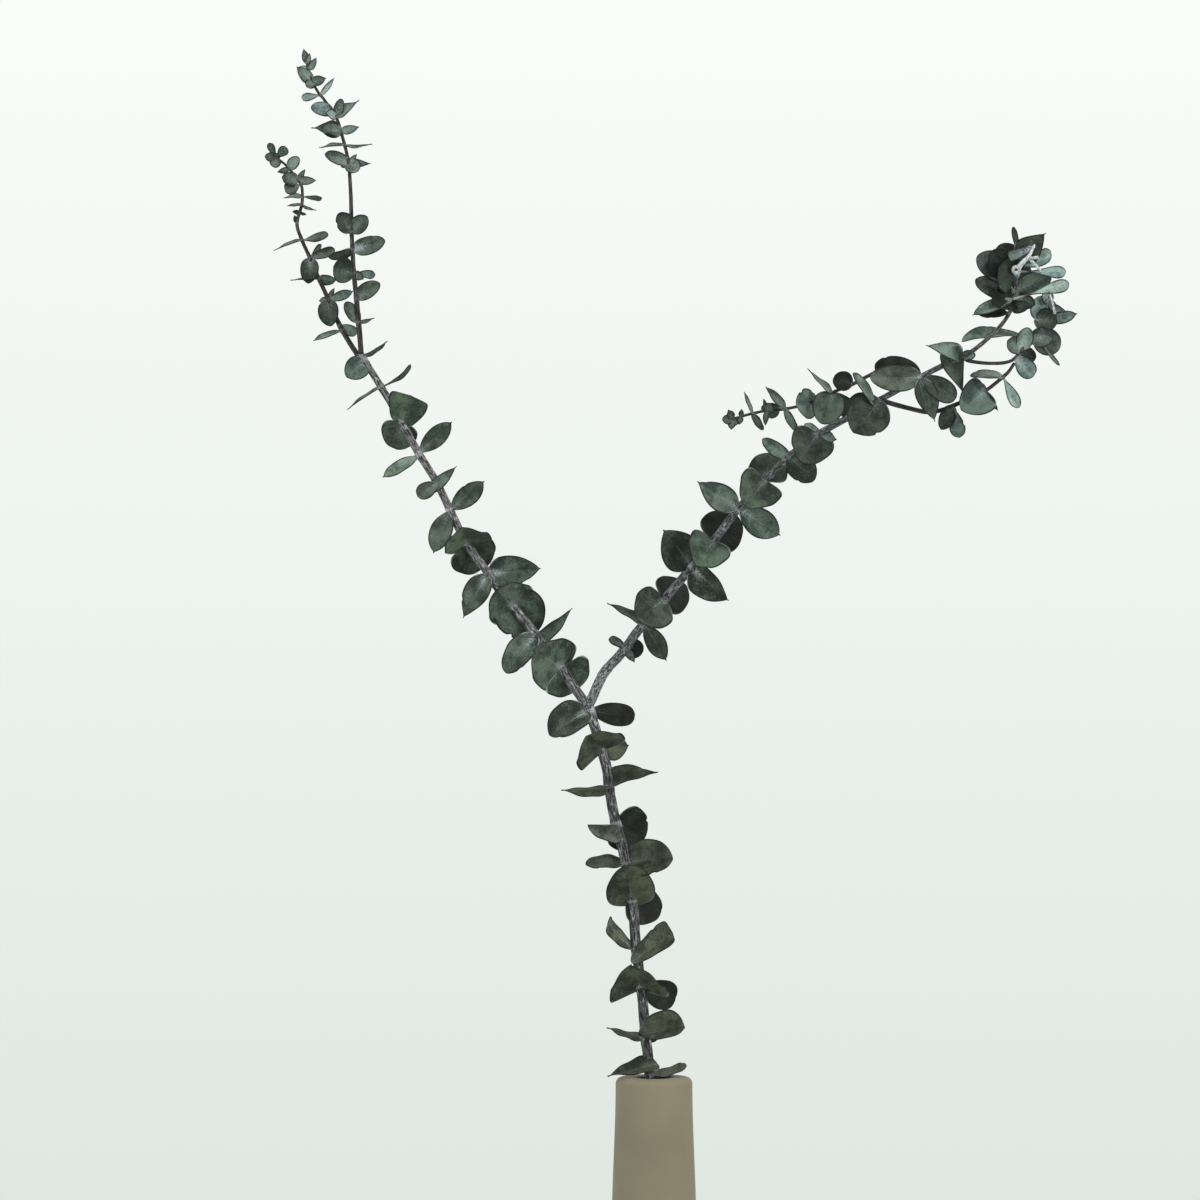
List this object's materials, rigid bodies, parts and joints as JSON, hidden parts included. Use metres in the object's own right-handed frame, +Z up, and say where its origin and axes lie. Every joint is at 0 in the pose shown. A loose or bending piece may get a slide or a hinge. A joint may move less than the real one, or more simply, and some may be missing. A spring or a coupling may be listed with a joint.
{
  "type": "eucalyptus branch in a bottle vase",
  "caption": "Forked branch of round-leaved eucalyptus standing in a slim matte ceramic bottle with a nearly flat top.",
  "frame": {"origin": "centre of the bottle's foot, on the surface it stands on", "axes": "+Z up along the bottle's axis, -Y towards the viewer of the picture, +X to that viewer's right"},
  "size_m": [0.407, 0.1472, 0.7437],
  "materials": {
    "bottle": "matte taupe stoneware glaze",
    "main_stem": "waxy grey-green leaves on a woody stem",
    "left_limb": "waxy grey-green leaves on a woody stem",
    "left_outer_twig": "waxy grey-green leaves on a woody stem",
    "left_inner_twig": "waxy grey-green leaves on a woody stem",
    "right_limb": "waxy grey-green leaves on a woody stem",
    "back_twig": "waxy grey-green leaves on a woody stem",
    "lower_twig": "waxy grey-green leaves on a woody stem",
    "outer_twig": "waxy grey-green leaves on a woody stem",
    "top_spray": "waxy grey-green leaves on a woody stem"
  },
  "bodies": {
    "root": {"bottle": "bottle", "main_stem": "main_stem", "left_limb": "left_limb", "left_outer_twig": "left_outer_twig", "left_inner_twig": "left_inner_twig", "right_limb": "right_limb", "back_twig": "back_twig", "lower_twig": "lower_twig", "outer_twig": "outer_twig", "top_spray": "top_spray"}
  },
  "joints": []
}
